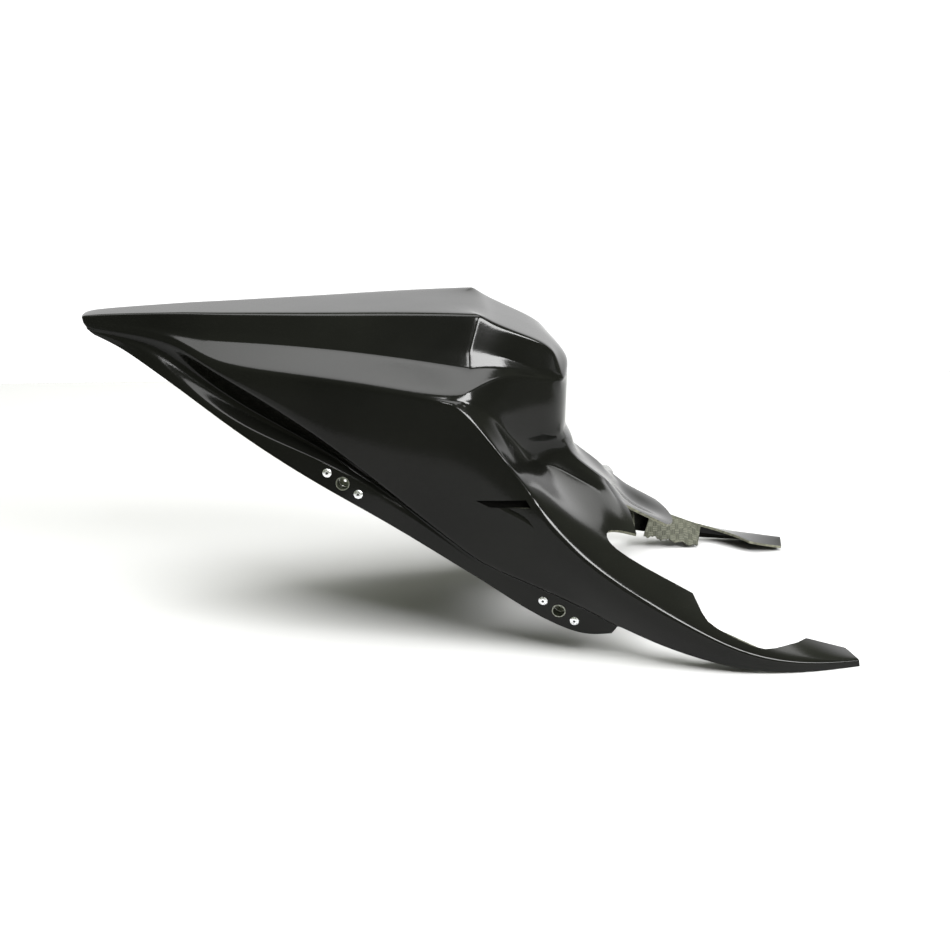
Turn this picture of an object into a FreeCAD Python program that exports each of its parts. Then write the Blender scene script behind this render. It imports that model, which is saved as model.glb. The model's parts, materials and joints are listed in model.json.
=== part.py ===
import FreeCAD, Part
import math
import os
from FreeCAD import Vector

# Race seat unit: a one-piece glass-fibre moulding, open underneath,
# with riveted quarter-turn receptacles on its side flanges.
# Millimetres. +X is forwards, +Y the rider's left, +Z up, with the tail deck level.
# Each character line is a row of (x, half width, z) poles for the right-hand half; the left half mirrors it.

# Overall size, and the size that the lines below are drawn at
LENGTH = 721.5
WIDTH = 363.0
HEIGHT = 314.0
DRAWING = (721.5, 363.0, 314.0)

# Moulding
WALL = 2.5
PANEL_BULGE = 0.025
ARM_BULGE = 0.09
BEVEL_BULGE = 0.08
TAIL_ROUND = 1.5
UPPER_SHARE = 0.4
MITRE_LIMIT = 0.6

# Quarter-turn receptacles on the side flanges
HOLE_R = 6.6
COLLAR_CLEARANCE = 0.2
COLLAR_WALL = 0.8
COLLAR_PROUD = 0.4
CUP_R = 7.4
CUP_WALL = 1.0
CUP_DEPTH = 8.0
CUP_VENT_R = 1.3
BASE_R = 9.5
EAR_END_R = 5.0
EAR_THICKNESS = 1.2
SEAT_GAP = 0.2
SPOT_FACE = 0.4
SPRING_WIRE_R = 0.7
SPRING_CLEARANCE = 0.15

# Blind rivets either side of each receptacle
RIVET_PITCH = 34.9
RIVET_SHANK_R = 2.0
RIVET_CLEARANCE = 0.06
RIVET_HEAD_R = 4.2
RIVET_HEAD_HEIGHT = 1.4
RIVET_BULB_R = 3.1
RIVET_BULB_LENGTH = 4.0
MANDREL_HOLE_R = 1.2
RIVET_SEAT_GAP = 0.12


def drawn(points):
    """Points of the drawing brought to the built size."""
    ratios = (LENGTH / DRAWING[0], WIDTH / DRAWING[1], HEIGHT / DRAWING[2])
    return [tuple(value * ratio for value, ratio in zip(p, ratios)) for p in points]


# Tail: lines from the tail tip (first pole) to the crest of the hump (last pole)
DECK_EDGE = drawn([(-362, 12, 306.5), (-289, 21, 309), (-262, 25, 310), (-235, 29, 310),
                   (-191, 35, 311), (-128, 44, 312), (-63, 53, 314), (10, 63, 314)])
WALL_FOOT = drawn([(-361, 12.6, 302.5), (-289, 23, 296), (-262, 30, 292), (-235, 36, 293),
                   (-191, 44, 293), (-128, 56, 292), (-63, 67, 288), (0, 78, 282)])
LEDGE_ROOT = drawn([(-360.6, 12.8, 301), (-289, 23.4, 294.5), (-262, 31.5, 288.5), (-235, 39, 286),
                    (-191, 49, 285), (-128, 62, 282), (-64, 74, 276), (0, 86, 268)])
SHOULDER = drawn([(-360.3, 13, 299.5), (-289, 23.8, 293), (-262, 36, 284), (-235, 51, 271),
                  (-190, 70, 268), (-127, 91, 264), (-64, 108, 257), (-11, 119, 250)])
PANEL_TOP = drawn([(-360, 13.2, 298), (-289, 24.2, 291.5), (-262, 37.5, 281.5), (-235, 54, 267),
                   (-190, 73.5, 263), (-127, 94.5, 259), (-64, 111.5, 252), (-12, 123, 245)])
PANEL_FOOT = drawn([(-357, 13.6, 293.5), (-290, 26, 285.5), (-262, 39, 275.5), (-235, 57, 260),
                    (-191, 76, 240), (-129, 98, 202), (-66, 112, 153), (-1, 121, 100)])
RECESS = drawn([(-355, 13.2, 291.5), (-298, 21.5, 282.5), (-273, 25, 266), (-246, 33, 247),
                (-201, 49, 219), (-130, 82, 191), (-66, 107.5, 149), (-1, 116.5, 96)])
FOLD = drawn([(-353, 13.4, 289.5), (-306, 23.5, 279), (-280, 33, 258), (-253, 47, 236), (-207, 69, 207),
              (-129, 97, 184), (-66, 108, 145), (-2, 117, 92)])
HEM = drawn([(-350, 13, 287), (-325, 18.5, 276), (-298, 28.5, 258), (-265, 44, 238), (-218, 66, 206),
             (-148, 95, 166), (-80, 106, 130), (-8, 115, 84)])

# Hump front: lines from the crest (first pole) round to the nose
HUMP_EDGE = drawn([(10, 63, 314), (22, 61.5, 306), (35, 60, 300), (51, 57.5, 293), (67, 54.5, 286),
                   (82, 50, 276)])
HUMP_WALL = drawn([(0, 78, 282), (13, 74, 280), (28, 69.5, 276), (47, 63, 268), (67, 55, 259),
                   (88, 46.5, 252)])
HUMP_LEDGE = drawn([(0, 86, 268), (14, 80, 268), (30, 74.5, 266), (48, 66, 262), (69, 56, 253),
                    (90, 45.5, 247)])
HUMP_LIP = drawn([(-11, 119, 250), (3, 104, 254), (16, 88, 256), (38, 72, 256), (66, 58, 248),
                  (92, 44, 241)])
HUMP_BACK = drawn([(7, 107, 246), (22, 93, 238), (40, 78, 228), (63, 57, 221), (88, 41, 219)])
HUMP_FOOT = drawn([(-12, 123, 245), (11, 108, 237), (24, 97, 222), (35, 85, 202), (58, 58, 197),
                   (81, 36, 193)])
NOSE = drawn([(84, 0, 277), (96, 0, 270), (99, 0, 259), (98.5, 0, 252), (97, 0, 242), (95.5, 0, 219),
              (94, 0, 192)])

# Sides and arms: lines from the shoulder corner to the front
RIDGE = drawn([(-12, 123, 245), (13, 127, 216), (33, 130.5, 191), (53, 134, 163), (67, 141, 141),
               (94, 152, 114), (125, 161, 90)])
SIDE_FOOT = drawn([(-1, 121, 100), (17, 122.5, 90), (35, 125, 82), (58, 128, 72), (78, 132, 64),
                   (105, 138.5, 52), (135, 147.5, 37)])
SIDE_STEP = drawn([(-1, 116.5, 96), (17, 118, 86), (35, 120.5, 78), (58, 123.5, 68), (78, 127.5, 60),
                   (105, 134, 48), (133.5, 144, 35)])
SIDE_FOLD = drawn([(-2, 117, 92), (16, 118.5, 82), (35, 120.5, 74), (58, 123.5, 63), (77, 127.5, 55),
                   (105, 134, 44), (132.5, 144, 33)])
SIDE_HEM = drawn([(-8, 115, 84), (10, 116.5, 73), (30, 118.5, 59), (53, 121, 44), (74, 125, 33),
                  (104, 131, 21), (129, 142.5, 28)])
ARM_EDGE = drawn([(123, 128, 111), (165, 130, 85), (203, 131, 64), (237, 132, 43), (276, 132, 26),
                  (315, 130, 14), (352, 137, 6)])
ARM_RIDGE = drawn([(125, 161, 90), (167, 170, 65), (209, 177, 42), (246, 181, 24), (289, 180, 13),
                   (328, 174, 9), (357, 166, 7)])
ARM_FOOT = drawn([(135, 147.5, 37), (170, 160, 23), (207, 171.5, 13), (243, 179, 5), (285, 180.5, 1),
                  (326, 174, 0), (358, 166, 0)])

# Seat floor: lines from the foot of the hump to the front, from the dish out to the flank
DISH = drawn([(81, 36, 193), (85, 33, 185), (92, 31, 176), (100, 30, 169), (109, 30, 162),
              (126, 29, 149), (143, 29, 136)])
RAIL_ROOT = drawn([(58, 58, 197), (60, 56, 189), (73, 54, 181), (83, 53, 173), (94, 52, 167),
                   (115, 51, 153), (134, 50, 140)])
RAIL = drawn([(35, 85, 202), (42, 76, 188), (57, 69, 178), (72, 65, 171), (86, 62, 164), (108, 60, 150),
              (128, 58, 140)])
FLANK_TOP = drawn([(24, 97, 222), (37, 96, 203), (52, 95, 180), (67, 96, 164), (83, 98, 148),
                   (104, 100, 133), (125, 101, 119)])
FLANK = drawn([(11, 108, 237), (29, 112, 208), (45, 114, 183), (64, 117, 163), (79, 121, 147),
               (103, 126, 125), (123, 128, 111)])
DISH_DEPTH = 4.0

# Middle of each receptacle on its flange, and the direction of its rivet line
REAR_FASTENER, REAR_LINE = drawn([(-118.5, 100, 164), (27, 5, -18)])
FRONT_FASTENER, FRONT_LINE = drawn([(81, 127, 45.5), (29, 4, -18)])

# Front of the seat: flaps beside the dish, and the tongue that folds down and forwards from it
FLAP_FRONT = drawn([(155, 105, 112), (155, 60, 120), (152, 48, 122), (152, 29, 121)])
TONGUE_FOLD = drawn([(165, 41, 113), (167, 28, 112)])
TONGUE_END = drawn([(195, 38.5, 97), (203, 26, 93)])
TONGUE_NOSE = drawn([(208, 0, 91)])[0]
TONGUE_DIMPLE = drawn([(170, 0, 97)])[0]
FLAP_MIDDLE = drawn([(156, 0, 114)])[0]

# Opening in each arm flange, and the pressed-in triangle on each side panel
NOTCH = drawn([(204, 115, -5), (211, 161, -5), (262, 172, -5), (290, 157, -5), (318, 115, -5)])
NOTCH_R = 7.0
LIP = drawn([(212, 162.5, 44), (268, 172.5, 19), (262, 152, 2), (202, 151, 16)])
SCOOP = drawn([(-6, 125.5, 154.5), (49, 132.5, 157), (68, 138, 125)])
SCOOP_DEPTH = 5.0


def place(p, side):
    return Vector(p[0], side * p[1], p[2])


def between(line_a, line_b, share, first_bulge, last_bulge):
    """Line part way between two others, pushed outwards by a share of the distance between them."""
    mixed = []
    last = len(line_a) - 1
    for k, (a, b) in enumerate(zip(line_a, line_b)):
        mid = [u + (v - u) * share for u, v in zip(a, b)]
        mid[1] += (first_bulge + (last_bulge - first_bulge) * k / last) * math.dist(a, b)
        mixed.append(tuple(mid))
    return mixed


def banded(line_a, line_b, first_bulge, last_bulge):
    """A broad, slightly crowned band: its two edge lines with two lines between."""
    upper = between(line_a, line_b, 1 / 3, first_bulge, last_bulge)
    lower = between(line_a, line_b, 2 / 3, first_bulge, last_bulge)
    return [line_a, upper, lower, line_b]


def tail_lines():
    bevel = between(SHOULDER, PANEL_TOP, 0.5, BEVEL_BULGE, BEVEL_BULGE)
    upper_wall = between(DECK_EDGE, WALL_FOOT, UPPER_SHARE, 0, 0)
    panel = banded(PANEL_TOP, PANEL_FOOT, PANEL_BULGE, PANEL_BULGE)
    return [DECK_EDGE, upper_wall, WALL_FOOT, LEDGE_ROOT, SHOULDER, bevel] + panel


def hump_lines():
    bevel_end = tail_lines()[5][-1]
    upper_wall = between(HUMP_EDGE, HUMP_WALL, UPPER_SHARE, 0, 0)
    return [HUMP_EDGE, upper_wall, HUMP_WALL, HUMP_LEDGE, HUMP_LIP, [bevel_end] + HUMP_BACK, HUMP_FOOT]


def surface(rows, across, along):
    """B-spline face over a grid of poles, with clamped uniform knots."""
    mults = []
    knots = []
    for count, degree in ((len(rows), across), (len(rows[0]), along)):
        spans = count - degree
        mults.append([degree + 1] + [1] * (spans - 1) + [degree + 1])
        knots.append([k / spans for k in range(spans + 1)])
    patch = Part.BSplineSurface()
    patch.buildFromPolesMultsKnots(rows, mults[0], mults[1], knots[0], knots[1], False, False, across, along)
    return patch


def middle(line, rise):
    """Centre-line poles for a face crowned between a line and its mirror image."""
    return [Vector(p[0], 0, p[2] + rise) for p in line]


def half_quilts():
    """Right-hand quilts of ruled strips: (lines, degree along the lines)."""
    tail = tail_lines() + [RECESS, FOLD, HEM]
    seat = [DISH, RAIL_ROOT, RAIL, FLANK_TOP, FLANK, RIDGE]
    flank = banded(RIDGE, SIDE_FOOT, PANEL_BULGE, ARM_BULGE) + [SIDE_STEP, SIDE_FOLD, SIDE_HEM]
    arm = [ARM_EDGE] + banded(ARM_RIDGE, ARM_FOOT, ARM_BULGE, ARM_BULGE)
    hump = hump_lines()
    flap = [[DISH[-1], FLAP_FRONT[3]], [RAIL_ROOT[-1], FLAP_FRONT[2]],
            [RAIL[-1], FLAP_FRONT[1]], [FLANK_TOP[-1], FLAP_FRONT[0]]]
    tongue = [[FLAP_FRONT[3], TONGUE_FOLD[1], TONGUE_END[1]], [FLAP_FRONT[2], TONGUE_FOLD[0], TONGUE_END[0]]]
    return [(tail, 3), (seat, 3), (flank, 3), (arm, 3), (hump, 1), (flap, 1), (tongue, 1)]


def crowned_sheets():
    """Sheets that cross the centre line: (left row, middle row, right row), degree along the rows."""
    sheets = []

    def crossing(line, centre, along):
        left = [place(p, 1) for p in line]
        right = [place(p, -1) for p in line]
        sheets.append(([left, centre, right], along))

    deck_middle = middle(DECK_EDGE, 0)
    deck_middle[0].x -= 2 * TAIL_ROUND
    crossing(DECK_EDGE, deck_middle, 3)
    edge_middle = middle(HUMP_EDGE, 0)
    edge_middle[-1] = Vector(2 * NOSE[0][0] - HUMP_EDGE[-1][0], 0, 2 * NOSE[0][2] - HUMP_EDGE[-1][2])
    crossing(HUMP_EDGE, edge_middle, 1)
    dish_middle = middle(DISH, -2 * DISH_DEPTH)
    dish_middle[0] = Vector(2 * NOSE[-1][0] - DISH[0][0], 0, 2 * NOSE[-1][2] - DISH[0][2])
    for k in range(1, len(DISH) - 1):
        dish_middle[k].x += (dish_middle[0].x - DISH[0][0]) * (1 - k / (len(DISH) - 1))
    crossing(DISH, dish_middle, 3)
    front = [DISH[-1], FLAP_FRONT[3], TONGUE_FOLD[1], TONGUE_END[1]]
    front_middle = [dish_middle[-1], Vector(*FLAP_MIDDLE), Vector(*TONGUE_DIMPLE), Vector(*TONGUE_NOSE)]
    crossing(front, front_middle, 1)
    nose_middle = []
    nose_side = []
    for line, tip in zip(hump_lines(), NOSE):
        end = line[-1]
        nose_side.append(end)
        nose_middle.append(Vector(2 * tip[0] - end[0], 0, 2 * tip[2] - end[2]))
    right = [place(p, -1) for p in nose_side]
    left = [place(p, 1) for p in nose_side]
    sheets.append(([right, nose_middle, left], 1))
    return sheets


def cells(rows, across, along):
    """Faces of a sheet: one smooth face, or one face per cell where the rows run straight."""
    if along > 1:
        return [surface(rows, across, along).toShape()]
    found = []
    for k in range(len(rows[0]) - 1):
        found.append(surface([row[k:k + 2] for row in rows], across, 1).toShape())
    return found


def cap_row(end):
    """Rounded row across the tail end, from left to right."""
    return [place(end, 1), Vector(end[0] - 2 * TAIL_ROUND, 0, end[2]), place(end, -1)]


def all_sheets():
    """Every sheet of the outer skin: (rows of poles, degree across, degree along, facing)."""
    sheets = []
    for side in (-1, 1):
        for lines, along in half_quilts():
            for upper, lower in zip(lines, lines[1:]):
                rows = [[place(p, side) for p in upper], [place(p, side) for p in lower]]
                sheets.append((rows, 1, along, -side))
    for rows, along in crowned_sheets():
        sheets.append((rows, 2, along, 1))
    cap = [cap_row(line[0]) for line in tail_lines()]
    for upper, lower in zip(cap, cap[1:]):
        sheets.append(([upper, lower], 1, 2, 1))
    return sheets


def key(p):
    return (round(p.x, 3), round(p.y, 3), round(p.z, 3))


def inward_steps(sheets):
    """Step from each outer pole to the inner skin, mitred between the cells that meet there."""
    normals = {}
    for rows, across, along, facing in sheets:
        for upper, lower in zip(rows, rows[1:]):
            for k in range(len(upper) - 1):
                down = lower[k] + lower[k + 1] - upper[k] - upper[k + 1]
                forward = upper[k + 1] + lower[k + 1] - upper[k] - lower[k]
                normal = down.cross(forward) * facing
                if normal.Length < 1e-6:
                    continue
                normal.normalize()
                for corner in (upper[k], upper[k + 1], lower[k], lower[k + 1]):
                    normals.setdefault(key(corner), []).append(normal)
    steps = {}
    for corner, around in normals.items():
        mean = Vector(0, 0, 0)
        for normal in around:
            mean += normal
        mean.normalize()
        spread = sum(mean.dot(normal) for normal in around) / len(around)
        steps[corner] = mean * (-WALL / max(spread, MITRE_LIMIT))
    return steps


def rim_rows():
    """Free edges of the moulding: (poles, degree along)."""
    end_left = place(TONGUE_END[1], 1)
    end_right = place(TONGUE_END[1], -1)
    rows = [(cap_row(PANEL_FOOT[0]), 2), ([end_left, Vector(*TONGUE_NOSE), end_right], 2)]
    skirt = [PANEL_FOOT[0], RECESS[0], FOLD[0], HEM[0]]
    plate_end = [SIDE_FOOT[-1], SIDE_STEP[-1], SIDE_FOLD[-1], SIDE_HEM[-1]]
    arm_tip = [ARM_EDGE[-1]] + [line[-1] for line in banded(ARM_RIDGE, ARM_FOOT, ARM_BULGE, ARM_BULGE)]
    gap = [FLANK[-1], FLANK_TOP[-1]] + FLAP_FRONT[:3] + [TONGUE_FOLD[0], TONGUE_END[0], TONGUE_END[1]]
    for side in (-1, 1):
        for line in (HEM, SIDE_HEM, ARM_FOOT, ARM_EDGE):
            rows.append(([place(p, side) for p in line], 3))
        for line in (skirt, plate_end, arm_tip, gap):
            rows.append(([place(p, side) for p in line], 1))
    return rows


def build_shell():
    sheets = all_sheets()
    steps = inward_steps(sheets)

    def inner(row):
        return [p + steps[key(p)] for p in row]

    faces = []
    for rows, across, along, facing in sheets:
        faces += cells(rows, across, along)
        faces += cells([inner(row) for row in rows], across, along)
    for row, along in rim_rows():
        faces += cells([row, inner(row)], 1, along)
    skin = Part.makeCompound(faces)
    skin.sewShape()
    shell = skin.Shells[0]
    solid = Part.makeSolid(shell)
    if solid.Volume < 0:
        solid.reverse()
    return solid


def local_frame(upper, lower, target, line, side):
    """Placement on a flange: origin on its outer face, Z outwards, X along the flange."""
    patch = surface([[place(p, side) for p in upper], [place(p, side) for p in lower]], 1, 3)
    across, along = patch.parameter(place(target, side))
    origin = patch.value(across, along)
    outwards = patch.normal(across, along)
    if outwards.y * side < 0:
        outwards = outwards * -1
    return FreeCAD.Placement(origin, FreeCAD.Rotation(place(line, side), Vector(0, 0, 0), outwards, "ZXY"))


def cylinder(radius, low, high, x=0.0):
    return Part.makeCylinder(radius, high - low, Vector(x, 0, low))


def eared_plate(grow, low, high):
    """Base outline: a round centre with an ear for each rivet."""
    half = RIVET_PITCH / 2
    ear_r = EAR_END_R + grow
    bridge = Part.makeBox(RIVET_PITCH, 2 * ear_r, high - low, Vector(-half, -ear_r, low))
    ears = [cylinder(ear_r, low, high, end) for end in (-half, half)]
    return cylinder(BASE_R + grow, low, high).fuse(ears + [bridge]).removeSplitter()


def receptacle():
    """Pressed receptacle behind the flange: collar through the hole, eared base and blind cup."""
    base_top = -WALL - SEAT_GAP
    base_low = base_top - EAR_THICKNESS
    cup_low = base_low - CUP_DEPTH
    half = RIVET_PITCH / 2
    body = eared_plate(0, base_low, base_top)
    body = body.fuse([cylinder(COLLAR_R, base_low, COLLAR_PROUD), cylinder(CUP_R, cup_low, base_low)])
    body = body.cut(cylinder(BORE_R, base_low - 1, COLLAR_PROUD + 1))
    body = body.cut(cylinder(CUP_R - CUP_WALL, cup_low + CUP_WALL, base_low))
    body = body.cut(cylinder(CUP_VENT_R, cup_low - 1, cup_low + CUP_WALL + 1))
    for end in (-half, half):
        body = body.cut(cylinder(RIVET_HOLE_R, base_low - 1, base_top + 1, end))
    return body.removeSplitter()


def spring():
    """Wire ring that lies on the floor of the cup."""
    floor = -WALL - SEAT_GAP - EAR_THICKNESS - CUP_DEPTH + CUP_WALL
    ring_r = CUP_R - CUP_WALL - SPRING_WIRE_R - SPRING_CLEARANCE
    return Part.makeTorus(ring_r, SPRING_WIRE_R, Vector(0, 0, floor + SPRING_WIRE_R + SPRING_CLEARANCE))


def rivet():
    """Blind rivet: domed head, hollow shank and set tail, revolved."""
    tail_top = -WALL - SEAT_GAP - EAR_THICKNESS - RIVET_SEAT_GAP
    tail_low = tail_top - RIVET_BULB_LENGTH
    tail_mid = (tail_top + tail_low) / 2
    under = RIVET_SEAT_GAP
    crown = under + RIVET_HEAD_HEIGHT
    brim = Vector(RIVET_HEAD_R, 0, under + 0.35 * RIVET_HEAD_HEIGHT)
    dome = Part.Arc(brim, Vector(0.72 * RIVET_HEAD_R, 0, under + 0.86 * RIVET_HEAD_HEIGHT),
                    Vector(MANDREL_HOLE_R, 0, crown))
    bulb = Part.Arc(Vector(RIVET_SHANK_R, 0, tail_low), Vector(RIVET_BULB_R, 0, tail_mid),
                    Vector(RIVET_SHANK_R, 0, tail_top))
    corners = [Vector(MANDREL_HOLE_R, 0, crown), Vector(MANDREL_HOLE_R, 0, tail_low),
               Vector(RIVET_SHANK_R, 0, tail_low)]
    rise = [Vector(RIVET_SHANK_R, 0, tail_top), Vector(RIVET_SHANK_R, 0, under),
            Vector(RIVET_HEAD_R, 0, under), brim]
    edges = Part.makePolygon(corners).Edges + [bulb.toShape()]
    edges += Part.makePolygon(rise).Edges + [dome.toShape()]
    profile = Part.Face(Part.Wire(edges))
    return profile.revolve(Vector(0, 0, 0), Vector(0, 0, 1), 360)


def flange_notch(side):
    """Prism that opens the arm's flange between its root and the tab at its tip."""
    corners = [place(p, side) for p in NOTCH]
    corners.append(corners[0])
    prism = Part.Face(Part.makePolygon(corners)).extrude(Vector(0, 0, 100))
    upright = [edge for edge in prism.Edges if abs(edge.tangentAt(edge.FirstParameter).z) > 0.99]
    return prism.makeFillet(NOTCH_R, upright)


def arm_lip(side):
    """Raw return lip that hangs from the narrow part of the flange."""
    top = [place(LIP[0], side), place(LIP[1], side)]
    low = [place(LIP[3], side), place(LIP[2], side)]
    sheet = surface([top, low], 1, 1)
    normal = sheet.normal(0.5, 0.5)
    if normal.y * side < 0:
        normal = normal * -1
    return sheet.toShape().extrude(normal * WALL)


def scoop(side):
    """Pressed-in triangle on the side panel: the dent and the wall that backs it."""
    rear, front, tip = [place(p, side) for p in SCOOP]
    inward = (front - rear).cross(tip - rear)
    inward.normalize()
    if inward.y * side > 0:
        inward = inward * -1
    deepest = rear * 0.35 + front * 0.65
    centre = (rear + front + tip) * (1 / 3)

    def tetra(grow, lift):
        base = [centre + (p - centre) * (1 + grow / 20) - inward * lift for p in (rear, front, tip)]
        apex = deepest + inward * (SCOOP_DEPTH + grow)
        ring = [base[0], base[1], base[2], base[0]]
        sides = [Part.Face(Part.makePolygon(ring))]
        for p, q in zip(ring, ring[1:]):
            sides.append(Part.Face(Part.makePolygon([p, q, apex, p])))
        solid = Part.makeSolid(Part.makeShell(sides))
        if solid.Volume < 0:
            solid.reverse()
        return solid

    return tetra(0, 1.5), tetra(1.8 * WALL, -0.5 * WALL)


COLLAR_R = HOLE_R - COLLAR_CLEARANCE
BORE_R = COLLAR_R - COLLAR_WALL
RIVET_HOLE_R = RIVET_SHANK_R + RIVET_CLEARANCE

shell = build_shell()
nodes = {}
rivets = []
cutters = [flange_notch(side) for side in (-1, 1)]
for place_name, upper, lower, target, line in (("rear", FOLD, HEM, REAR_FASTENER, REAR_LINE),
                                               ("front", SIDE_FOLD, SIDE_HEM, FRONT_FASTENER, FRONT_LINE)):
    for side_name, side in (("right", -1), ("left", 1)):
        seat_at = local_frame(upper, lower, target, line, side)
        tools = [cylinder(HOLE_R, -4 * WALL, 2 * WALL)]
        tools.append(eared_plate(SPOT_FACE, -2 * WALL, -WALL - SEAT_GAP / 2))
        for end in (-RIVET_PITCH / 2, RIVET_PITCH / 2):
            tools.append(cylinder(RIVET_HOLE_R, -4 * WALL, 2 * WALL, end))
            tools.append(cylinder(RIVET_HEAD_R + SPOT_FACE, RIVET_SEAT_GAP / 2, 2 * WALL, end))
            one = rivet()
            one.Placement = seat_at.multiply(FreeCAD.Placement(Vector(end, 0, 0), FreeCAD.Rotation()))
            rivets.append(one)
        for tool in tools:
            tool.Placement = seat_at.multiply(tool.Placement)
            cutters.append(tool)
        for name, solid in (("receptacle", receptacle()), ("spring", spring())):
            solid.Placement = seat_at.multiply(solid.Placement)
            nodes["_".join((name, place_name, side_name))] = solid
lips = [arm_lip(side) for side in (-1, 1)]
dents = []
backs = []
for side in (-1, 1):
    dent, back = scoop(side)
    dents.append(dent)
    backs.append(back)
shell = shell.cut(cutters).fuse(lips + backs).cut(dents)
nodes["seat_shell"] = shell
nodes["rivets"] = Part.makeCompound(rivets)

box = shell.optimalBoundingBox(False)
to_origin = Vector(-(box.XMin + box.XMax) / 2, 0, -box.ZMin)
os.makedirs("parts", exist_ok=True)
for name, shape in nodes.items():
    shape.translate(to_origin)
    shape.exportStep("parts/" + name + ".step")
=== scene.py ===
import json
import math
import bmesh
import bpy
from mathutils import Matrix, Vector


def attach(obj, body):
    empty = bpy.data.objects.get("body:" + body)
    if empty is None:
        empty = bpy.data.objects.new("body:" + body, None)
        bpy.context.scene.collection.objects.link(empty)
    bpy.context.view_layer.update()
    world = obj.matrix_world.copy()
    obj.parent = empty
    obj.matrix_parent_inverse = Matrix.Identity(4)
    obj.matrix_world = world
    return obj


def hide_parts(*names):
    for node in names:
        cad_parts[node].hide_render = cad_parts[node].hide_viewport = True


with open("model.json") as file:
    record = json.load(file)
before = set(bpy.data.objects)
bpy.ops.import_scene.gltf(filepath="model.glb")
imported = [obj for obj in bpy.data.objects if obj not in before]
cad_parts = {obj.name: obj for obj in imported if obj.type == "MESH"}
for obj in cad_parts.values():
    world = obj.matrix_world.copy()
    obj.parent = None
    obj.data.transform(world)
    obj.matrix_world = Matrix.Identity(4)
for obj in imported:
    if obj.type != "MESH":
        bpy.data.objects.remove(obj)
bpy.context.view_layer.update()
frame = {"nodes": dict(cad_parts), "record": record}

scene = bpy.context.scene

# Millimetres and degrees; SHIFT brings the drawn lines to the middle of the frame
MM = 0.001
SHIFT = 2.75
WALL = 2.5
HOLE_R = 6.6
HOLE_REACH = 9
HOLE_SIDES = 48

# Rounding of the edges, wider along the ridge of the arms
EDGE_ROUND = 2.4
RIDGE_ROUND = 6.5
SHARP_BEND = 15.0
SMOOTH_BEND = 40.0
RIDGE_WEIGHT = 0.95
ROOM_SHARE = 0.4
LEAST_ROOM = 0.3

# Crown of the broad faces, as a share of their width
BEVEL_BULGE = 0.08
PANEL_BULGE = 0.025
ARM_BULGE = 0.09

# Character lines of the right-hand half, as (x, half width, z)
# Tail: from the tail tip to the crest of the hump
DECK_EDGE = [(-362, 12, 306.5), (-289, 21, 309), (-262, 25, 310), (-235, 29, 310),
             (-191, 35, 311), (-128, 44, 312), (-63, 53, 314), (10, 63, 314)]
WALL_FOOT = [(-361, 12.6, 302.5), (-289, 23, 296), (-262, 30, 292), (-235, 36, 293),
             (-191, 44, 293), (-128, 56, 292), (-63, 67, 288), (0, 78, 282)]
LEDGE_ROOT = [(-360.6, 12.8, 301), (-289, 23.4, 294.5), (-262, 31.5, 288.5), (-235, 39, 286),
              (-191, 49, 285), (-128, 62, 282), (-64, 74, 276), (0, 86, 268)]
SHOULDER = [(-360.3, 13, 299.5), (-289, 23.8, 293), (-262, 36, 284), (-235, 51, 271),
            (-190, 70, 268), (-127, 91, 264), (-64, 108, 257), (-11, 119, 250)]
PANEL_TOP = [(-360, 13.2, 298), (-289, 24.2, 291.5), (-262, 37.5, 281.5), (-235, 54, 267),
             (-190, 73.5, 263), (-127, 94.5, 259), (-64, 111.5, 252), (-12, 123, 245)]
PANEL_FOOT = [(-357, 13.6, 293.5), (-290, 26, 285.5), (-262, 39, 275.5), (-235, 57, 260),
              (-191, 76, 240), (-129, 98, 202), (-66, 112, 153), (-1, 121, 100)]
RECESS = [(-355, 13.2, 291.5), (-298, 21.5, 282.5), (-273, 25, 266), (-246, 33, 247),
          (-201, 49, 219), (-130, 82, 191), (-66, 107.5, 149), (-1, 116.5, 96)]
FOLD = [(-353, 13.4, 289.5), (-306, 23.5, 279), (-280, 33, 258), (-253, 47, 236),
        (-207, 69, 207), (-129, 97, 184), (-66, 108, 145), (-2, 117, 92)]
HEM = [(-350, 13, 287), (-325, 18.5, 276), (-298, 28.5, 258), (-265, 44, 238),
       (-218, 66, 206), (-148, 95, 166), (-80, 106, 130), (-8, 115, 84)]
TAIL_ROUND = 1.5
CAP_LINES = 9

# Hump front: from the crest round to the nose, and the nose's own centre line from top to foot
HUMP_EDGE = [(10, 63, 314), (22, 61.5, 306), (35, 60, 300), (51, 57.5, 293), (67, 54.5, 286), (82, 50, 276)]
HUMP_WALL = [(0, 78, 282), (13, 74, 280), (28, 69.5, 276), (47, 63, 268), (67, 55, 259), (88, 46.5, 252)]
HUMP_LEDGE = [(0, 86, 268), (14, 80, 268), (30, 74.5, 266), (48, 66, 262), (69, 56, 253), (90, 45.5, 247)]
HUMP_LIP = [(-11, 119, 250), (4, 104, 255), (24, 89, 260.5), (45, 75, 259), (65, 62, 252.5), (92, 44, 243)]
HUMP_BACK = [(9, 108, 244), (26, 95, 236), (44, 79, 229), (66, 64, 222), (92, 46, 218)]
HUMP_FOOT = [(-12, 123, 245), (11, 108, 237), (24, 97, 222), (35, 85, 203), (63, 63, 198), (90, 45, 193)]
NOSE = [(84, 0, 277), (99, 0, 259), (98.5, 0, 252), (98, 0, 242), (97.5, 0, 219), (97, 0, 192)]

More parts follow.
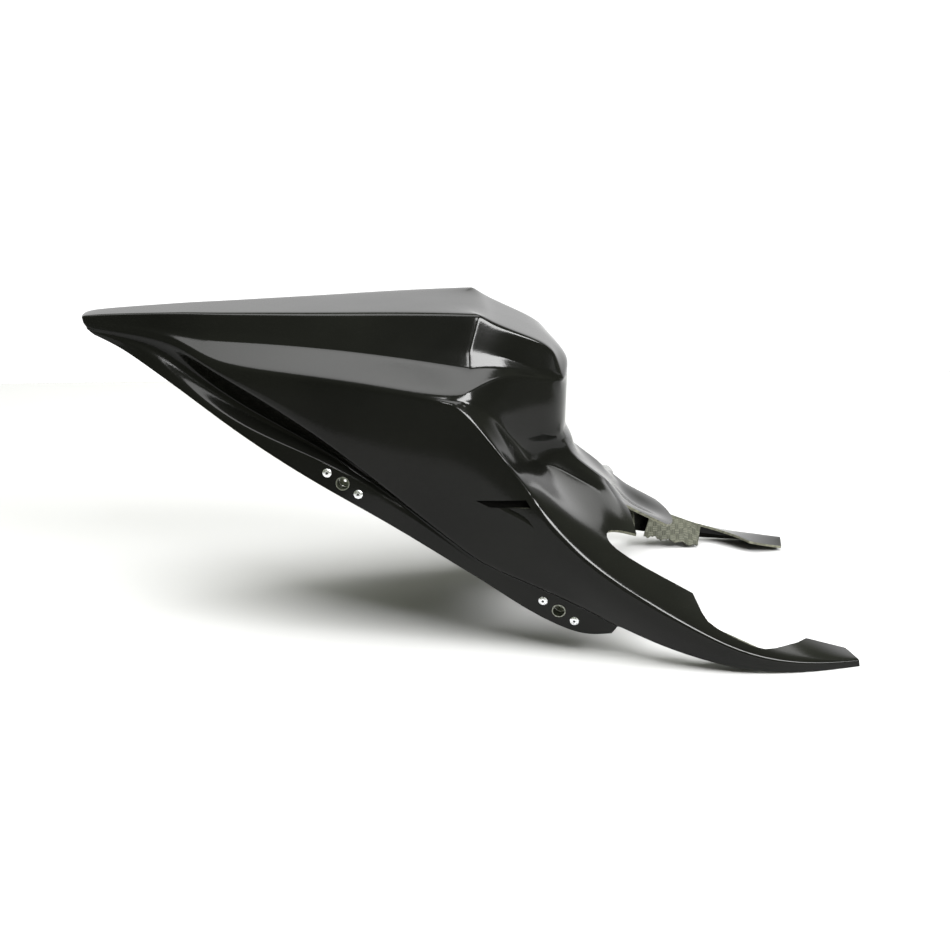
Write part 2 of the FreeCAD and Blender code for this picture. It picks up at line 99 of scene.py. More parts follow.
# Sides and arms: from the shoulder corner to the front
RIDGE = [(-12, 123, 245), (13, 127, 216), (33, 130.5, 191), (53, 134, 163), (67, 141, 141),
         (94, 152, 114), (125, 161, 90)]
SIDE_FOOT = [(-1, 121, 100), (17, 122.5, 90), (35, 125, 82), (58, 128, 72), (78, 132, 64),
             (105, 138.5, 52), (135, 147.5, 37)]
SIDE_STEP = [(-1, 116.5, 96), (17, 118, 86), (35, 120.5, 78), (58, 123.5, 68), (78, 127.5, 60),
             (105, 134, 48), (133.5, 144, 35)]
SIDE_FOLD = [(-2, 117, 92), (16, 118.5, 82), (35, 120.5, 74), (58, 123.5, 63), (77, 127.5, 55),
             (105, 134, 44), (132.5, 144, 33)]
SIDE_HEM = [(-8, 115, 84), (10, 116.5, 73), (30, 118.5, 59), (53, 121, 44), (74, 125, 33),
            (104, 131, 21), (129, 142.5, 28)]
ARM_EDGE = [(123, 128, 111), (165, 130, 85), (203, 131, 64), (237, 132, 43), (276, 132, 26),
            (315, 130, 14), (352, 137, 6)]
ARM_RIDGE = [(125, 161, 90), (167, 170, 65), (209, 177, 42), (246, 181, 24), (289, 180, 13),
             (328, 174, 9), (357, 166, 7)]
ARM_FOOT = [(135, 147.5, 37), (170, 160, 23), (207, 171.5, 13), (243, 179, 5), (285, 180.5, 1),
            (326, 174, 0), (358, 166, 0)]
ARMS_START = 195.0

# Seat floor: from the foot of the hump to the front, from the dish out to the flank
DISH = [(90, 45, 193), (93, 38, 184.5), (97, 33, 176), (102, 31, 168.5), (109, 30, 162),
        (126, 29, 149), (143, 29, 136)]
RAIL_ROOT = [(63, 63, 198), (67, 55, 188), (77, 49, 179), (85, 45, 171), (94, 43, 165),
             (115, 42, 151), (134, 42, 138)]
RAIL = [(35, 85, 203), (44, 73, 190), (55, 63, 173), (71, 55, 167), (86, 50, 160.5),
        (108, 49, 146.5), (128, 49, 137)]
FLANK_TOP = [(24, 97, 222), (36, 95, 202), (46, 95, 181), (67, 96, 165), (83, 98, 149),
             (104, 100, 133), (125, 101, 119)]
FLANK = [(11, 108, 237), (28, 111, 208), (38, 114, 184), (63, 117, 164), (79, 121, 147),
         (103, 126, 125), (123, 128, 111)]
DISH_DEPTH = 4.0
DISH_BOW = 13

# Soft bead along the rail: its height at each point, and (outwards, upwards) per height of its two lines
BEAD_HEIGHT = [0, 0, 0, 2.4, 3.4, 2.6, 0]
BEAD_CREST = (1.3, 1.0)
BEAD_STEP = (2.8, -0.3)

# Front of the seat: flaps beside the dish, and the tongue that folds down and forwards from it
FLAP_FRONT = [(155, 105, 112), (155, 60, 120), (152, 48, 122), (152, 29, 121)]
TONGUE_FOLD = [(165, 41, 113), (167, 28, 112)]
TONGUE_END = [(195, 38.5, 97), (203, 26, 93)]
FRONT_CENTRE = [(154, 0, 117.5), (168.5, 0, 104.5), (205.5, 0, 92)]

# Sharpness of each character line, edge by edge: 1 is hard and 0 is smooth
CREASES = (
    (DECK_EDGE, 1), (WALL_FOOT, [0.3, 0.5, 0.8, 1, 1, 1, 1]), (LEDGE_ROOT, [0, 0.2, 0.6, 1, 1, 1, 1]),
    (SHOULDER, [0, 0.1, 0.6, 1, 1, 1, 1]), (PANEL_TOP, [0, 0, 0.4, 0.8, 0.8, 0.8, 0.8]),
    (PANEL_FOOT, [0, 0, 0.15, 0.25, 0.4, 0.5, 0.4]), (RECESS, [0, 0, 0.1, 0.2, 0.3, 0.3, 0.3]),
    (FOLD, [0.4, 0.5, 0.7, 1, 1, 0.8, 0.5]), (HUMP_EDGE, 1), (HUMP_WALL, 1), (HUMP_LEDGE, 1), (HUMP_LIP, 1),
    (HUMP_FOOT, [0.3, 0.3, 0.2, 0.2, 0.6]), (ARM_RIDGE, 0.34), (RIDGE, [0.5, 0.6, 0.8, 0.5, 0.4, 0.36]),
    (SIDE_FOOT, 0.4), (SIDE_STEP, 0.3), (SIDE_FOLD, 0.5), (RAIL, [0, 0.2, 1, 1, 1, 1]),
    (DISH, [0.3, 0.6, 0.9, 1, 1, 1]),
)
NOSE_CREASE = 0.8
CAP_CREASE = 0.7
TONGUE_CREASE = 0.9

# Opening in each arm's flange, in plan, and the raw lip that hangs from the flange's narrow part
NOTCH = [(202, 108), (205, 129), (208.5, 142), (211, 152), (215.5, 160.5), (225, 165), (240, 168), (256, 171),
         (268, 170), (279, 164.5), (291, 155.5), (304, 145), (315, 132), (318, 108)]
NOTCH_HEIGHTS = (-20, 120)
LIP = [(212, 162.5, 44), (268, 172.5, 19), (262, 152, 2), (202, 151, 16)]
LIP_COLUMNS = 24
LIP_ROWS = 10
LIP_TEARS = ((0.05, 7.3, 0), (0.03, 3.1, 1))

# Pressed-in triangle on each side panel, with a slit along its upper edge whose faces carry painted shade
SCOOP = [(3, 126.7, 154.9), (49, 132.5, 157), (68, 138, 125)]
SCOOP_DEPTH = 2.2
SCOOP_DEEPEST = 0.95
SCOOP_LIFT = 1.5
BACKING_GROW = 2.4 * WALL
BACKING_SINK = 0.5 * WALL
BACKING_SPREAD = 20
SLIT = 9.0
SLIT_TAPER = 0.2
SLIT_DEPTH = (0.9, 3.0, 3.0, 1.5)
SLIT_OVERLAP = 3.0

# Skins of the shell, in the order of its material slots; the last is the painted shade inside the slit
OUTSIDE, INSIDE, TRIM, DENT, SHADED_SLIT_SKIN = range(5)


class Nodes:
    """Small helper for building a material's node tree."""

    def __init__(self, name):
        self.material = bpy.data.materials.new(name)
        self.material.use_nodes = True
        self.tree = self.material.node_tree
        self.shader = self.tree.nodes["Principled BSDF"]

    def add(self, kind, **values):
        node = self.tree.nodes.new(kind)
        for key, value in values.items():
            if key in node.inputs:
                node.inputs[key].default_value = value
            else:
                setattr(node, key, value)
        return node

    def link(self, source, target):
        self.tree.links.new(source, target)

    def object_coords(self):
        return self.add("ShaderNodeTexCoord").outputs["Object"]

    def noise(self, coords, scale, detail=3.0, roughness=0.5):
        node = self.add("ShaderNodeTexNoise", Scale=scale, Detail=detail, Roughness=roughness)
        self.link(coords, node.inputs["Vector"])
        return node.outputs["Fac"]

    def ramp(self, value, stops):
        node = self.add("ShaderNodeValToRGB")
        ramp = node.color_ramp
        while len(ramp.elements) < len(stops):
            ramp.elements.new(0.5)
        for element, (position, colour) in zip(ramp.elements, stops):
            element.position = position
            element.color = colour
        self.link(value, node.inputs["Fac"])
        return node.outputs["Color"]

    def spread(self, value, low, high):
        node = self.add("ShaderNodeMapRange")
        node.inputs["To Min"].default_value = low
        node.inputs["To Max"].default_value = high
        self.link(value, node.inputs["Value"])
        return node.outputs["Result"]

    def mix(self, factor, first, second):
        node = self.add("ShaderNodeMix", data_type="FLOAT")
        for source, target in ((factor, node.inputs["Factor"]), (first, node.inputs[2]), (second, node.inputs[3])):
            self.link(source, target)
        return node.outputs[0]

    def bump(self, height, strength, distance, normal=None):
        node = self.add("ShaderNodeBump", Strength=strength, Distance=distance)
        self.link(height, node.inputs["Height"])
        if normal is not None:
            self.link(normal, node.inputs["Normal"])
        return node.outputs["Normal"]

    def finish(self, colour, roughness, normal):
        self.link(colour, self.shader.inputs["Base Color"])
        self.link(roughness, self.shader.inputs["Roughness"])
        self.link(normal, self.shader.inputs["Normal"])


def gelcoat_material():
    """Glossy black gel coat with slow waves, fine orange peel and an uneven polish."""
    n = Nodes("gelcoat_black")
    coords = n.object_coords()
    tone = n.noise(coords, scale=9.0, detail=4.0)
    colour = n.ramp(tone, [(0.3, (0.0022, 0.0023, 0.002, 1)), (0.7, (0.0042, 0.0044, 0.0036, 1))])
    haze = n.noise(coords, scale=28.0, detail=5.0, roughness=0.6)
    waves = n.bump(n.noise(coords, scale=14.0, detail=1.0), strength=0.25, distance=0.0008)
    peel = n.bump(n.noise(coords, scale=420.0, detail=2.0), strength=0.12, distance=0.0002, normal=waves)
    n.finish(colour, n.spread(haze, low=0.09, high=0.17), peel)
    n.shader.inputs["IOR"].default_value = 1.25
    return n.material


def fibre_material():
    """Raw woven glass fibre, soaked unevenly with dark resin."""
    n = Nodes("raw_glass_fibre")
    coords = n.object_coords()
    split = n.add("ShaderNodeSeparateXYZ")
    n.link(coords, split.inputs["Vector"])
    tilt = n.add("ShaderNodeSeparateXYZ")
    n.link(n.add("ShaderNodeNewGeometry").outputs["Normal"], tilt.inputs["Vector"])
    level = n.add("ShaderNodeMath", operation="ABSOLUTE")
    n.link(tilt.outputs["Z"], level.inputs[0])
    flat = n.add("ShaderNodeMath", operation="GREATER_THAN")
    flat.inputs[1].default_value = 0.6
    n.link(level.outputs[0], flat.inputs[0])
    plane = n.add("ShaderNodeCombineXYZ")
    n.link(split.outputs["X"], plane.inputs["X"])
    n.link(n.mix(flat.outputs[0], split.outputs["Z"], split.outputs["Y"]), plane.inputs["Y"])
    cells = n.add("ShaderNodeTexChecker", Scale=200.0)
    n.link(plane.outputs["Vector"], cells.inputs["Vector"])
    ribs = []
    for direction in ("X", "Y"):
        wave = n.add("ShaderNodeTexWave", Scale=160.0, Distortion=0.6, bands_direction=direction)
        n.link(plane.outputs["Vector"], wave.inputs["Vector"])
        ribs.append(wave.outputs["Fac"])
    weave = n.mix(cells.outputs["Fac"], ribs[0], ribs[1])
    resin = n.noise(coords, scale=30.0, detail=5.0, roughness=0.6)
    tows = n.mix(n.spread(resin, low=0.25, high=0.6), weave, cells.outputs["Fac"])
    cloth = n.ramp(tows, [(0.0, (0.01, 0.011, 0.007, 1)), (1.0, (0.1, 0.102, 0.078, 1))])
    stain = n.ramp(resin, [(0.35, (0.018, 0.019, 0.013, 1)), (0.65, (0.075, 0.077, 0.056, 1))])
    mixed = n.add("ShaderNodeMix", data_type="RGBA")
    mixed.inputs["Factor"].default_value = 0.45
    n.link(cloth, mixed.inputs[6])
    n.link(stain, mixed.inputs[7])
    n.finish(mixed.outputs[2], n.spread(resin, low=0.35, high=0.7), n.bump(weave, strength=0.5, distance=0.0006))
    n.shader.inputs["IOR"].default_value = 1.25
    return n.material


def edge_material():
    """Sawn edge of the laminate, with the ends of its strands."""
    n = Nodes("trimmed_edge")
    strands = n.noise(n.object_coords(), scale=260.0, detail=4.0, roughness=0.7)
    colour = n.ramp(strands, [(0.3, (0.03, 0.03, 0.022, 1)), (0.7, (0.17, 0.17, 0.12, 1))])
    n.finish(colour, n.spread(strands, low=0.55, high=0.85), n.bump(strands, strength=0.6, distance=0.0005))
    return n.material


def painted_shade_slit_material():
    """Painted shade: dull near-black material in the slit of the scoop, darker and less glossy than the gelcoat,
    standing in for the shade inside it.
    """
    n = Nodes("slit_painted_shade")
    grain = n.noise(n.object_coords(), scale=600.0, detail=4.0, roughness=0.6)
    colour = n.ramp(grain, [(0.3, (0.0008, 0.0008, 0.0007, 1)), (0.7, (0.003, 0.003, 0.0026, 1))])
    n.finish(colour, n.spread(grain, low=0.6, high=0.85), n.bump(grain, strength=0.4, distance=0.0003))
    n.shader.inputs["IOR"].default_value = 1.08
    return n.material


def metal_material(name, dark, light, low, high, scale):
    """Bare metal with a mottled tone and polish, and a fine grain."""
    n = Nodes(name)
    coords = n.object_coords()
    tone = n.noise(coords, scale, detail=4.0, roughness=0.6)
    grain = n.bump(n.noise(coords, scale * 5, detail=2.0), strength=0.2, distance=0.0001)
    n.finish(n.ramp(tone, [(0.3, dark), (0.7, light)]), n.spread(tone, low, high), grain)
    n.shader.inputs["Metallic"].default_value = 1.0
    return n.material


gelcoat = gelcoat_material()
fibre = fibre_material()
trimmed = edge_material()
# Painted shade for the inside of the scoop's slit
slit_painted_shade = painted_shade_slit_material()
SKINS = (gelcoat, fibre, trimmed, gelcoat, slit_painted_shade)
steel = metal_material("plated_steel", dark=(0.12, 0.13, 0.105, 1), light=(0.34, 0.35, 0.3, 1),
                       low=0.2, high=0.42, scale=500.0)
wire = metal_material("spring_wire", dark=(0.32, 0.32, 0.32, 1), light=(0.62, 0.62, 0.62, 1),
                      low=0.15, high=0.35, scale=900.0)
aluminium = metal_material("rivet_aluminium", dark=(0.62, 0.63, 0.65, 1), light=(0.88, 0.89, 0.9, 1),
                           low=0.18, high=0.38, scale=700.0)


def metres(p, side):
    return Vector(((p[0] + SHIFT) * MM, side * p[1] * MM, p[2] * MM))


def sided(line, side):
    return [(p[0], side * p[1], p[2]) for p in line]


def between(line_a, line_b, share, first_bulge, last_bulge):
    """Line part way between two others, pushed outwards by a share of the distance between them."""
    mixed = []
    last = len(line_a) - 1
    for k, (a, b) in enumerate(zip(line_a, line_b)):
        mid = [u + (v - u) * share for u, v in zip(a, b)]
        mid[1] += (first_bulge + (last_bulge - first_bulge) * k / last) * math.dist(a, b)
        mixed.append(tuple(mid))
    return mixed


def banded(line_a, line_b, first_bulge, last_bulge):
    """A broad, slightly crowned band: its two edge lines with two lines between."""
    upper = between(line_a, line_b, 1 / 3, first_bulge, last_bulge)
    lower = between(line_a, line_b, 2 / 3, first_bulge, last_bulge)
    return [line_a, upper, lower, line_b]


def bead(out, up):
    """Line beside the rail, set off from it by the bead's height."""
    return [(x, w + out * h, z + up * h) for (x, w, z), h in zip(RAIL, BEAD_HEIGHT)]


def centred(line, points):
    """Left line, centre poles that bring the surface through the given points, right line."""
    centre = []
    for end, p in zip(line, points):
        centre.append((1.5 * p[0] - 0.5 * end[0], 0.0, 1.5 * p[2] - 0.5 * end[2]))
    return [sided(line, 1), centre, sided(line, -1)]


class Cage:
    """Control cage of quads with creased edges; points that coincide are one vertex."""

    def __init__(self):
        self.points = []
        self.index = {}
        self.faces = []
        self.creases = {}
        self.wide = []

    def vertex(self, p):
        key = tuple(round(c, 2) for c in p)
        if key not in self.index:
            self.index[key] = len(self.points)
            self.points.append(metres(p, 1))
        return self.index[key]

    def quilt(self, rows, flip=False):
        for upper, lower in zip(rows, rows[1:]):
            for k in range(len(upper) - 1):
                quad = [self.vertex(p) for p in (upper[k], lower[k], lower[k + 1], upper[k + 1])]
                quad = list(dict.fromkeys(quad))
                if len(quad) > 2:
                    self.faces.append(quad[::-1] if flip else quad)

    def crease(self, line, value):
        """Sharpen a polyline; value is a number, or one number per edge."""
        for k, (p, q) in enumerate(zip(line, line[1:])):
            amount = value[k] if isinstance(value, list) else value
            a, b = self.vertex(p), self.vertex(q)
            self.creases[(min(a, b), max(a, b))] = amount

    def object(self, name):
        mesh = bpy.data.meshes.new(name)
        mesh.from_pydata(self.points, [], self.faces)
        layer = mesh.attributes.new("crease_edge", "FLOAT", "EDGE")
        for edge in mesh.edges:
            a, b = edge.vertices
            layer.data[edge.index].value = self.creases.get((min(a, b), max(a, b)), 0.0)
        obj = bpy.data.objects.new(name, mesh)
        obj.vertex_groups.new(name="wide_round").add(self.wide, 1.0, "REPLACE")
        scene.collection.objects.link(obj)
        return obj


def shell_cage():
    """The whole outer face: two mirrored halves, and the sheets that cross the centre line."""
    cage = Cage()
    bevel = between(SHOULDER, PANEL_TOP, 0.5, BEVEL_BULGE, BEVEL_BULGE)
    tail = [DECK_EDGE, WALL_FOOT, LEDGE_ROOT, SHOULDER, bevel]
    tail += banded(PANEL_TOP, PANEL_FOOT, PANEL_BULGE, PANEL_BULGE) + [RECESS, FOLD, HEM]
    hump = [HUMP_EDGE, HUMP_WALL, HUMP_LEDGE, HUMP_LIP, [bevel[-1]] + HUMP_BACK, HUMP_FOOT]
    seat = [DISH, RAIL_ROOT, RAIL, bead(*BEAD_CREST), bead(*BEAD_STEP), FLANK_TOP, FLANK, RIDGE]
    flank = banded(RIDGE, SIDE_FOOT, PANEL_BULGE, ARM_BULGE) + [SIDE_STEP, SIDE_FOLD, SIDE_HEM]
    arm = [ARM_EDGE] + banded(ARM_RIDGE, ARM_FOOT, ARM_BULGE, ARM_BULGE)
    flap = [[DISH[-1], FLAP_FRONT[3]], [RAIL_ROOT[-1], FLAP_FRONT[2]],
            [RAIL[-1], FLAP_FRONT[1]], [FLANK_TOP[-1], FLAP_FRONT[0]]]
    tongue = [[FLAP_FRONT[3], TONGUE_FOLD[1], TONGUE_END[1]], [FLAP_FRONT[2], TONGUE_FOLD[0], TONGUE_END[0]]]
    for side in (-1, 1):
        for quilt in (tail, hump, seat, flank, arm, flap, tongue):
            cage.quilt([sided(line, side) for line in quilt], side > 0)

    deck_centre = [(p[0], 0, p[2]) for p in DECK_EDGE]
    deck_centre[0] = (DECK_EDGE[0][0] - TAIL_ROUND, 0, DECK_EDGE[0][2])
    cage.quilt(centred(DECK_EDGE, deck_centre))
    top_centre = [(p[0], 0, p[2]) for p in HUMP_EDGE]
    top_centre[-1] = NOSE[0]
    cage.quilt(centred(HUMP_EDGE, top_centre))
    last = len(DISH) - 1
    dish_centre = [(p[0] + DISH_BOW * (1 - k / last), 0, p[2] - DISH_DEPTH) for k, p in enumerate(DISH)]
    dish_centre[0] = NOSE[-1]
    cage.quilt(centred(DISH, dish_centre))
    front = [DISH[-1], FLAP_FRONT[3], TONGUE_FOLD[1], TONGUE_END[1]]
    cage.quilt(centred(front, [dish_centre[-1]] + FRONT_CENTRE))
    nose_rows = [list(row) for row in zip(*centred([line[-1] for line in hump], NOSE))]
    cage.quilt([row[::-1] for row in nose_rows])
    cage.crease(nose_rows[-1], 1)
    cap = [line[0] for line in tail[:CAP_LINES]]
    cap_tips = [(p[0] - TAIL_ROUND, 0, p[2]) for p in cap]
    cage.quilt([list(row) for row in zip(*centred(cap, cap_tips))])

    for side in (-1, 1):
        for line, value in CREASES:
            cage.crease(sided(line, side), value)
        cage.crease(sided([line[-1] for line in tail[:3]], side), 1)
        cage.crease(sided([line[-1] for line in hump[:4]], side), NOSE_CREASE)
        cage.crease(sided(cap, side), CAP_CREASE)
        cage.crease(sided([line[2] for line in seat[4:]], side), 1)
        cage.crease(sided(FLAP_FRONT, side), 1)
        cage.crease(sided([FLAP_FRONT[2]] + TONGUE_FOLD, side), TONGUE_CREASE)
        cage.wide += [cage.vertex(p) for p in sided(RIDGE[3:] + ARM_RIDGE[1:], side)]
    return cage


def baked(obj, name):
    """Plain object with the modifiers of obj applied."""
    graph = bpy.context.evaluated_depsgraph_get()
    mesh = bpy.data.meshes.new_from_object(obj.evaluated_get(graph))
    mesh.name = name
    result = bpy.data.objects.new(name, mesh)
    scene.collection.objects.link(result)
    return result


def closed(name, points, faces, slot):
    """Closed solid with its faces turned outwards; slot is the shell's skin for what it cuts or adds."""
    mesh = bpy.data.meshes.new(name)
    mesh.from_pydata(points, [], faces)
    work = bmesh.new()
    work.from_mesh(mesh)
    bmesh.ops.recalc_face_normals(work, faces=work.faces[:])
    work.to_mesh(mesh)
    work.free()
    for material in SKINS:
        mesh.materials.append(material)
    mesh.polygons.foreach_set("material_index", [slot] * len(mesh.polygons))
    obj = bpy.data.objects.new(name, mesh)
    scene.collection.objects.link(obj)
    return obj


def tube_faces(count):
    """Faces of a closed prism whose first and last rings have count points each."""
    faces = [list(range(count)), list(range(count, 2 * count))]
    for k in range(count):
        n = (k + 1) % count
        faces.append([k, n, count + n, count + k])
    return faces


def notch(side):
    """Prism over the plan outline of the opening in an arm's flange."""
    points = [metres((x, w, z), side) for z in NOTCH_HEIGHTS for x, w in NOTCH]
    return closed("notch", points, tube_faces(len(NOTCH)), TRIM)


def drill(place, axis):
    """Round bar through a fastener's hole."""
    turn = Vector((0, 0, 1)).rotation_difference(axis).to_matrix()
    radius = HOLE_R * MM
    points = []
    for end in (-HOLE_REACH * MM, HOLE_REACH * MM):
        for k in range(HOLE_SIDES):
            angle = 2 * math.pi * k / HOLE_SIDES
            points.append(place + turn @ Vector((radius * math.cos(angle), radius * math.sin(angle), end)))
    return closed("drill", points, tube_faces(HOLE_SIDES), TRIM)


def scoop(side):
    """Pressed-in triangle on a side panel: the wall behind it, the dent, and the slit lined with painted shade."""
    corners = [metres(p, side) for p in SCOOP]
    inward = (corners[1] - corners[0]).cross(corners[2] - corners[0]).normalized()
    if inward.y * side > 0:
        inward = -inward
    deepest = corners[0].lerp(corners[1], SCOOP_DEEPEST)
    centre = (corners[0] + corners[1] + corners[2]) / 3

    def wedge(name, grow, lift, slot):
        base = [centre + (p - centre) * (1 + grow / BACKING_SPREAD) - inward * (lift * MM) for p in corners]
        apex = deepest + inward * ((SCOOP_DEPTH + grow) * MM)
        return closed(name, base + [apex], [(0, 1, 2), (0, 1, 3), (1, 2, 3), (2, 0, 3)], slot)

    back = wedge("scoop_back", BACKING_GROW, -BACKING_SINK, INSIDE)
    dent = wedge("scoop_dent", 0, SCOOP_LIFT, DENT)
    mouth = [corners[0], corners[1], corners[1] + (corners[2] - corners[1]).normalized() * (SLIT * MM),
             corners[0].lerp(corners[2], SLIT_TAPER)]
    ring = [p - inward * (SLIT_OVERLAP * MM) for p in mouth]
    ring += [p + inward * (depth * MM) for p, depth in zip(mouth, SLIT_DEPTH)]
    # The slit's faces take the painted-shade skin
    slit = closed("scoop_slit", ring, tube_faces(len(mouth)), SHADED_SLIT_SKIN)
    return back, dent, slit


def round_weights(mesh):
    """Share of the rounding that each sharp edge takes, held back where the faces beside it are narrow."""
    work = bmesh.new()
    work.from_mesh(mesh)
    layer = work.edges.layers.float.new("bevel_weight_edge")
    groups = work.verts.layers.deform.active
    for edge in work.edges:
        if len(edge.link_faces) != 2:
            continue
        bend = math.degrees(edge.calc_face_angle(0.0))
        if bend < SHARP_BEND:
            continue
        beside = [e.calc_length() for face in edge.link_faces for e in face.edges
                  if len(set(e.verts) & set(edge.verts)) == 1]
        on_ridge = min(vert[groups].get(0, 0.0) for vert in edge.verts) > RIDGE_WEIGHT
        radius = RIDGE_ROUND if on_ridge else EDGE_ROUND
        room = ROOM_SHARE * min(beside) / (radius * MM)
        if room > LEAST_ROOM:
            edge[layer] = min(1.0, room, bend / (2 * SHARP_BEND)) * radius / RIDGE_ROUND
    work.to_mesh(mesh)
    work.free()


def finish_skins(mesh):
    """Black inside of the arms, and sharp lines wherever two skins meet."""
    mesh.set_sharp_from_angle(angle=math.radians(SMOOTH_BEND))
    skins = {}
    for face in mesh.polygons:
        if face.material_index == INSIDE and face.center.x > ARMS_START * MM:
            face.material_index = OUTSIDE
        for key in face.edge_keys:
            skins.setdefault(key, set()).add(face.material_index)
    sharp = mesh.attributes.get("sharp_edge") or mesh.attributes.new("sharp_edge", "BOOLEAN", "EDGE")
    for edge in mesh.edges:
        if len(skins[tuple(sorted(edge.vertices))]) > 1:
            sharp.data[edge.index].value = True


def build_shell():
    """The moulding: smoothed and rounded skin, thickened, then cut by the scoops, notches and holes."""
    raw = shell_cage().object("shell_cage")
    raw.data.polygons.foreach_set("use_smooth", [True] * len(raw.data.polygons))
    for material in SKINS:
        raw.data.materials.append(material)
    smooth = raw.modifiers.new("smooth", "SUBSURF")
    smooth.levels = 2
    smooth.boundary_smooth = "PRESERVE_CORNERS"
    skin = baked(raw, "shell_skin")
    skin.data.attributes.remove(skin.data.attributes["crease_edge"])
    round_weights(skin.data)
    rounding = skin.modifiers.new("rounding", "BEVEL")
    rounding.limit_method = "WEIGHT"
    rounding.width = RIDGE_ROUND * MM
    rounding.segments = 2
    rounding.use_clamp_overlap = False
    finer = skin.modifiers.new("finer", "SUBSURF")
    finer.levels = 1
    finer.boundary_smooth = "PRESERVE_CORNERS"
    wall = skin.modifiers.new("wall", "SOLIDIFY")
    wall.thickness = WALL * MM
    wall.offset = -1.0
    wall.use_quality_normals = True
    wall.material_offset = INSIDE
    wall.material_offset_rim = TRIM
    tools = []
    for side in (-1, 1):
        back, dent, slit = scoop(side)
        tools += [(back, "UNION"), (dent, "DIFFERENCE"), (slit, "DIFFERENCE"), (notch(side), "DIFFERENCE")]
    for mount in frame["record"]["mounts"]:
        tools.append((drill(Vector(mount["pos_m"]), Vector(mount["axis"])), "DIFFERENCE"))
    for tool, operation in tools:
        cut = skin.modifiers.new(tool.name, "BOOLEAN")
        cut.operation = operation
        cut.solver = "EXACT"
        cut.object = tool
    shell = baked(skin, "seat_shell_skin")
    for temporary in [raw, skin] + [tool for tool, _ in tools]:
        bpy.data.objects.remove(temporary)
    finish_skins(shell.data)
    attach(shell, "root")
    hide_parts("seat_shell")


def arm_lip(side, name):
    """Raw return lip that hangs from the narrow part of an arm's flange, with a torn lower edge."""
    rear_top, front_top, front_low, rear_low = [metres(p, side) for p in LIP]
    points = []
    for k in range(LIP_COLUMNS + 1):
        share = k / LIP_COLUMNS
        top = rear_top.lerp(front_top, share)
        low = rear_low.lerp(front_low, share)
        torn = sum(depth * math.sin(pitch * k + start) for depth, pitch, start in LIP_TEARS)
        for row in range(LIP_ROWS + 1):
            points.append(top.lerp(low, (row / LIP_ROWS) * (1 + torn * row / LIP_ROWS)))
    faces = []
    for k in range(LIP_COLUMNS):
        for row in range(LIP_ROWS):
            a = k * (LIP_ROWS + 1) + row
            faces.append((a, a + 1, a + LIP_ROWS + 2, a + LIP_ROWS + 1))
    mesh = bpy.data.meshes.new(name)
    mesh.from_pydata(points, [], faces)
    mesh.materials.append(fibre)
    sheet = bpy.data.objects.new(name + "_sheet", mesh)
    scene.collection.objects.link(sheet)
    wall = sheet.modifiers.new("wall", "SOLIDIFY")
    wall.thickness = WALL * MM
    wall.offset = 0.0
    lip = baked(sheet, name)
    bpy.data.objects.remove(sheet)
    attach(lip, "root")
    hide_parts("seat_shell")


build_shell()
arm_lip(-1, "arm_lip_right")
arm_lip(1, "arm_lip_left")
for name, node in frame["nodes"].items():
    kind = name.split("_")[0]
    material = {"receptacle": steel, "spring": wire, "rivets": aluminium}.get(kind)
    if material:
        node.data.materials.clear()
        node.data.materials.append(material)
        node.data.polygons.foreach_set("use_smooth", [True] * len(node.data.polygons))
        node.data.set_sharp_from_angle(angle=math.radians(SMOOTH_BEND))

# Pale floor, in metres
FLOOR_HALF = 0.95
FLOOR_FRONT = -0.7
FLOOR_BACK = 0.9
paper = Nodes("studio_floor")
paper.shader.inputs["Base Color"].default_value = (0.43, 0.43, 0.43, 1)
paper.shader.inputs["Roughness"].default_value = 0.8
floor_mesh = bpy.data.meshes.new("floor")
floor_corners = [(-FLOOR_HALF, FLOOR_FRONT, 0), (FLOOR_HALF, FLOOR_FRONT, 0),
                 (FLOOR_HALF, FLOOR_BACK, 0), (-FLOOR_HALF, FLOOR_BACK, 0)]
floor_mesh.from_pydata(floor_corners, [], [(0, 1, 2, 3)])
floor_mesh.materials.append(paper.material)
floor = bpy.data.objects.new("floor", floor_mesh)
scene.collection.objects.link(floor)

# Studio: a dim room with a low white backdrop behind the object, and a little light below the horizon.
# Each row gives where the white starts, where it is full, and its share there.
DIM = (0.26, 0.278, 0.205, 1)
WHITE = (1.3, 1.3, 1.3, 1)
BACKDROP_DEPTH = (0.4, 0.7, 1.0)
BACKDROP_HEIGHT = (0.44, 0.3, 1.0)
BELOW_HORIZON = (0.0, -0.1, 0.15)
world = bpy.data.worlds.new("studio")
scene.world = world
world.use_nodes = True
tree = world.node_tree
direction = tree.nodes.new("ShaderNodeTexCoord")
split = tree.nodes.new("ShaderNodeSeparateXYZ")
tree.links.new(direction.outputs["Generated"], split.inputs["Vector"])


def rise(source, start, end, top):
    """Share that goes from 0 to top while the source goes from start to end."""
    node = tree.nodes.new("ShaderNodeMapRange")
    node.inputs["From Min"].default_value = start
    node.inputs["From Max"].default_value = end
    node.inputs["To Max"].default_value = top
    tree.links.new(split.outputs[source], node.inputs["Value"])
    return node.outputs["Result"]


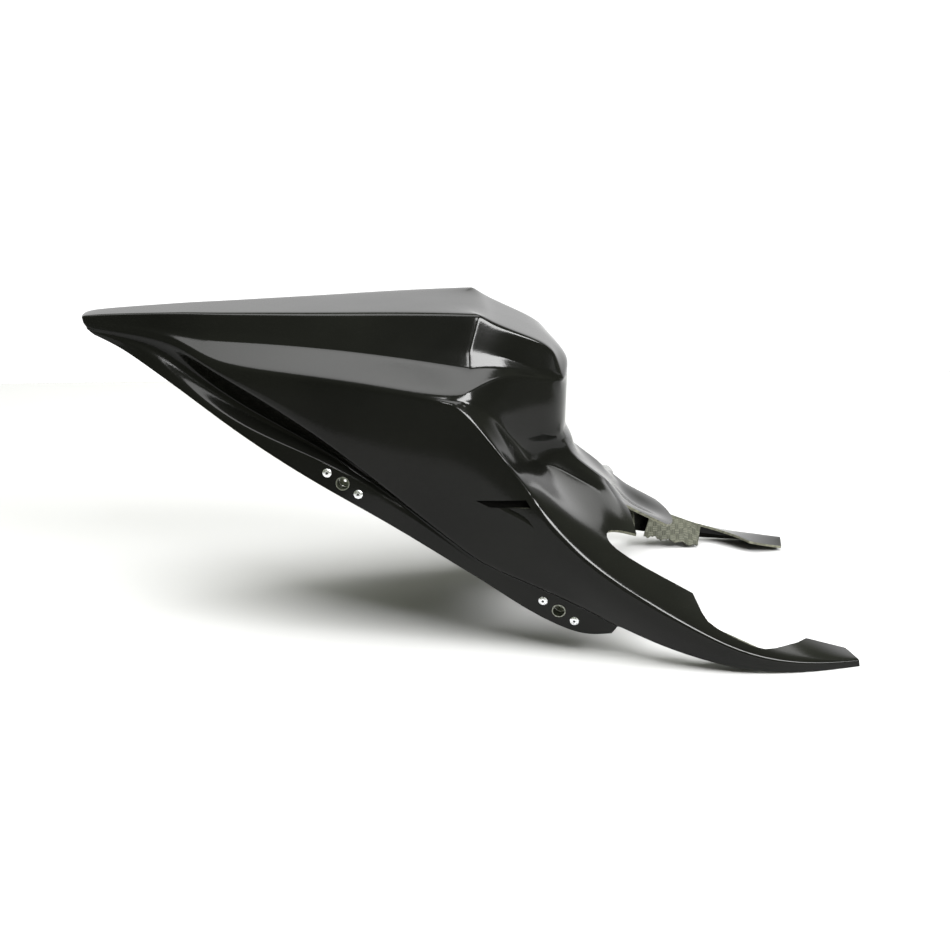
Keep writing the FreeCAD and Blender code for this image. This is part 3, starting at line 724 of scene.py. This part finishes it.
def joined(operation, first, second):
    node = tree.nodes.new("ShaderNodeMath")
    node.operation = operation
    tree.links.new(first, node.inputs[0])
    tree.links.new(second, node.inputs[1])
    return node.outputs[0]


backdrop = joined("MINIMUM", rise("Y", *BACKDROP_DEPTH), rise("Z", *BACKDROP_HEIGHT))
tent = tree.nodes.new("ShaderNodeValToRGB")
for element, colour in zip(tent.color_ramp.elements, (DIM, WHITE)):
    element.color = colour
tree.links.new(joined("MAXIMUM", backdrop, rise("Z", *BELOW_HORIZON)), tent.inputs["Fac"])
tree.links.new(tent.outputs["Color"], tree.nodes["Background"].inputs["Color"])
tree.nodes["Background"].inputs["Strength"].default_value = 1.0
scene.view_settings.view_transform = "Standard"

# Softboxes: name, place, target, width and height in metres, power in watts
SOFTBOXES = (
    ("overhead", (-0.2, -0.2, 2.5), (-0.2, -0.2, 0), 3.0, 1.7, 150),
    ("above_camera", (0.0, -1.7, 2.0), (0, 0, 0.25), 0.35, 0.35, 14),
    ("front_right", (1.6, -1.5, 1.6), (0.2, -0.1, 0.1), 1.5, 0.6, 136),
    ("far_right", (2.44, 2.69, 1.83), (0.11, -0.08, 0.14), 0.8, 1.4, 10.5),
)
for name, place, target, width, height, power in SOFTBOXES:
    light = bpy.data.lights.new(name, "AREA")
    light.shape = "RECTANGLE"
    light.size = width
    light.size_y = height
    light.energy = power
    box = bpy.data.objects.new(name, light)
    box.location = place
    box.rotation_euler = (Vector(target) - Vector(place)).to_track_quat("-Z", "Y").to_euler()
    scene.collection.objects.link(box)

# Camera: place in metres, tilt and turn in degrees, focal length in widths of the picture
CAMERA_PLACE = (-0.0710 + SHIFT * MM, -1.5904, 0.6581)
CAMERA_TILT = 18.08
CAMERA_TURN = -2.881
SENSOR = 36.0
FOCAL_WIDTHS = 1700 / 950
camera_data = bpy.data.cameras.new("camera")
camera_data.sensor_width = SENSOR
camera_data.lens = SENSOR * FOCAL_WIDTHS
camera = bpy.data.objects.new("camera", camera_data)
camera.location = CAMERA_PLACE
camera.rotation_euler = (math.radians(90 - CAMERA_TILT), 0, math.radians(CAMERA_TURN))
scene.collection.objects.link(camera)
scene.camera = camera
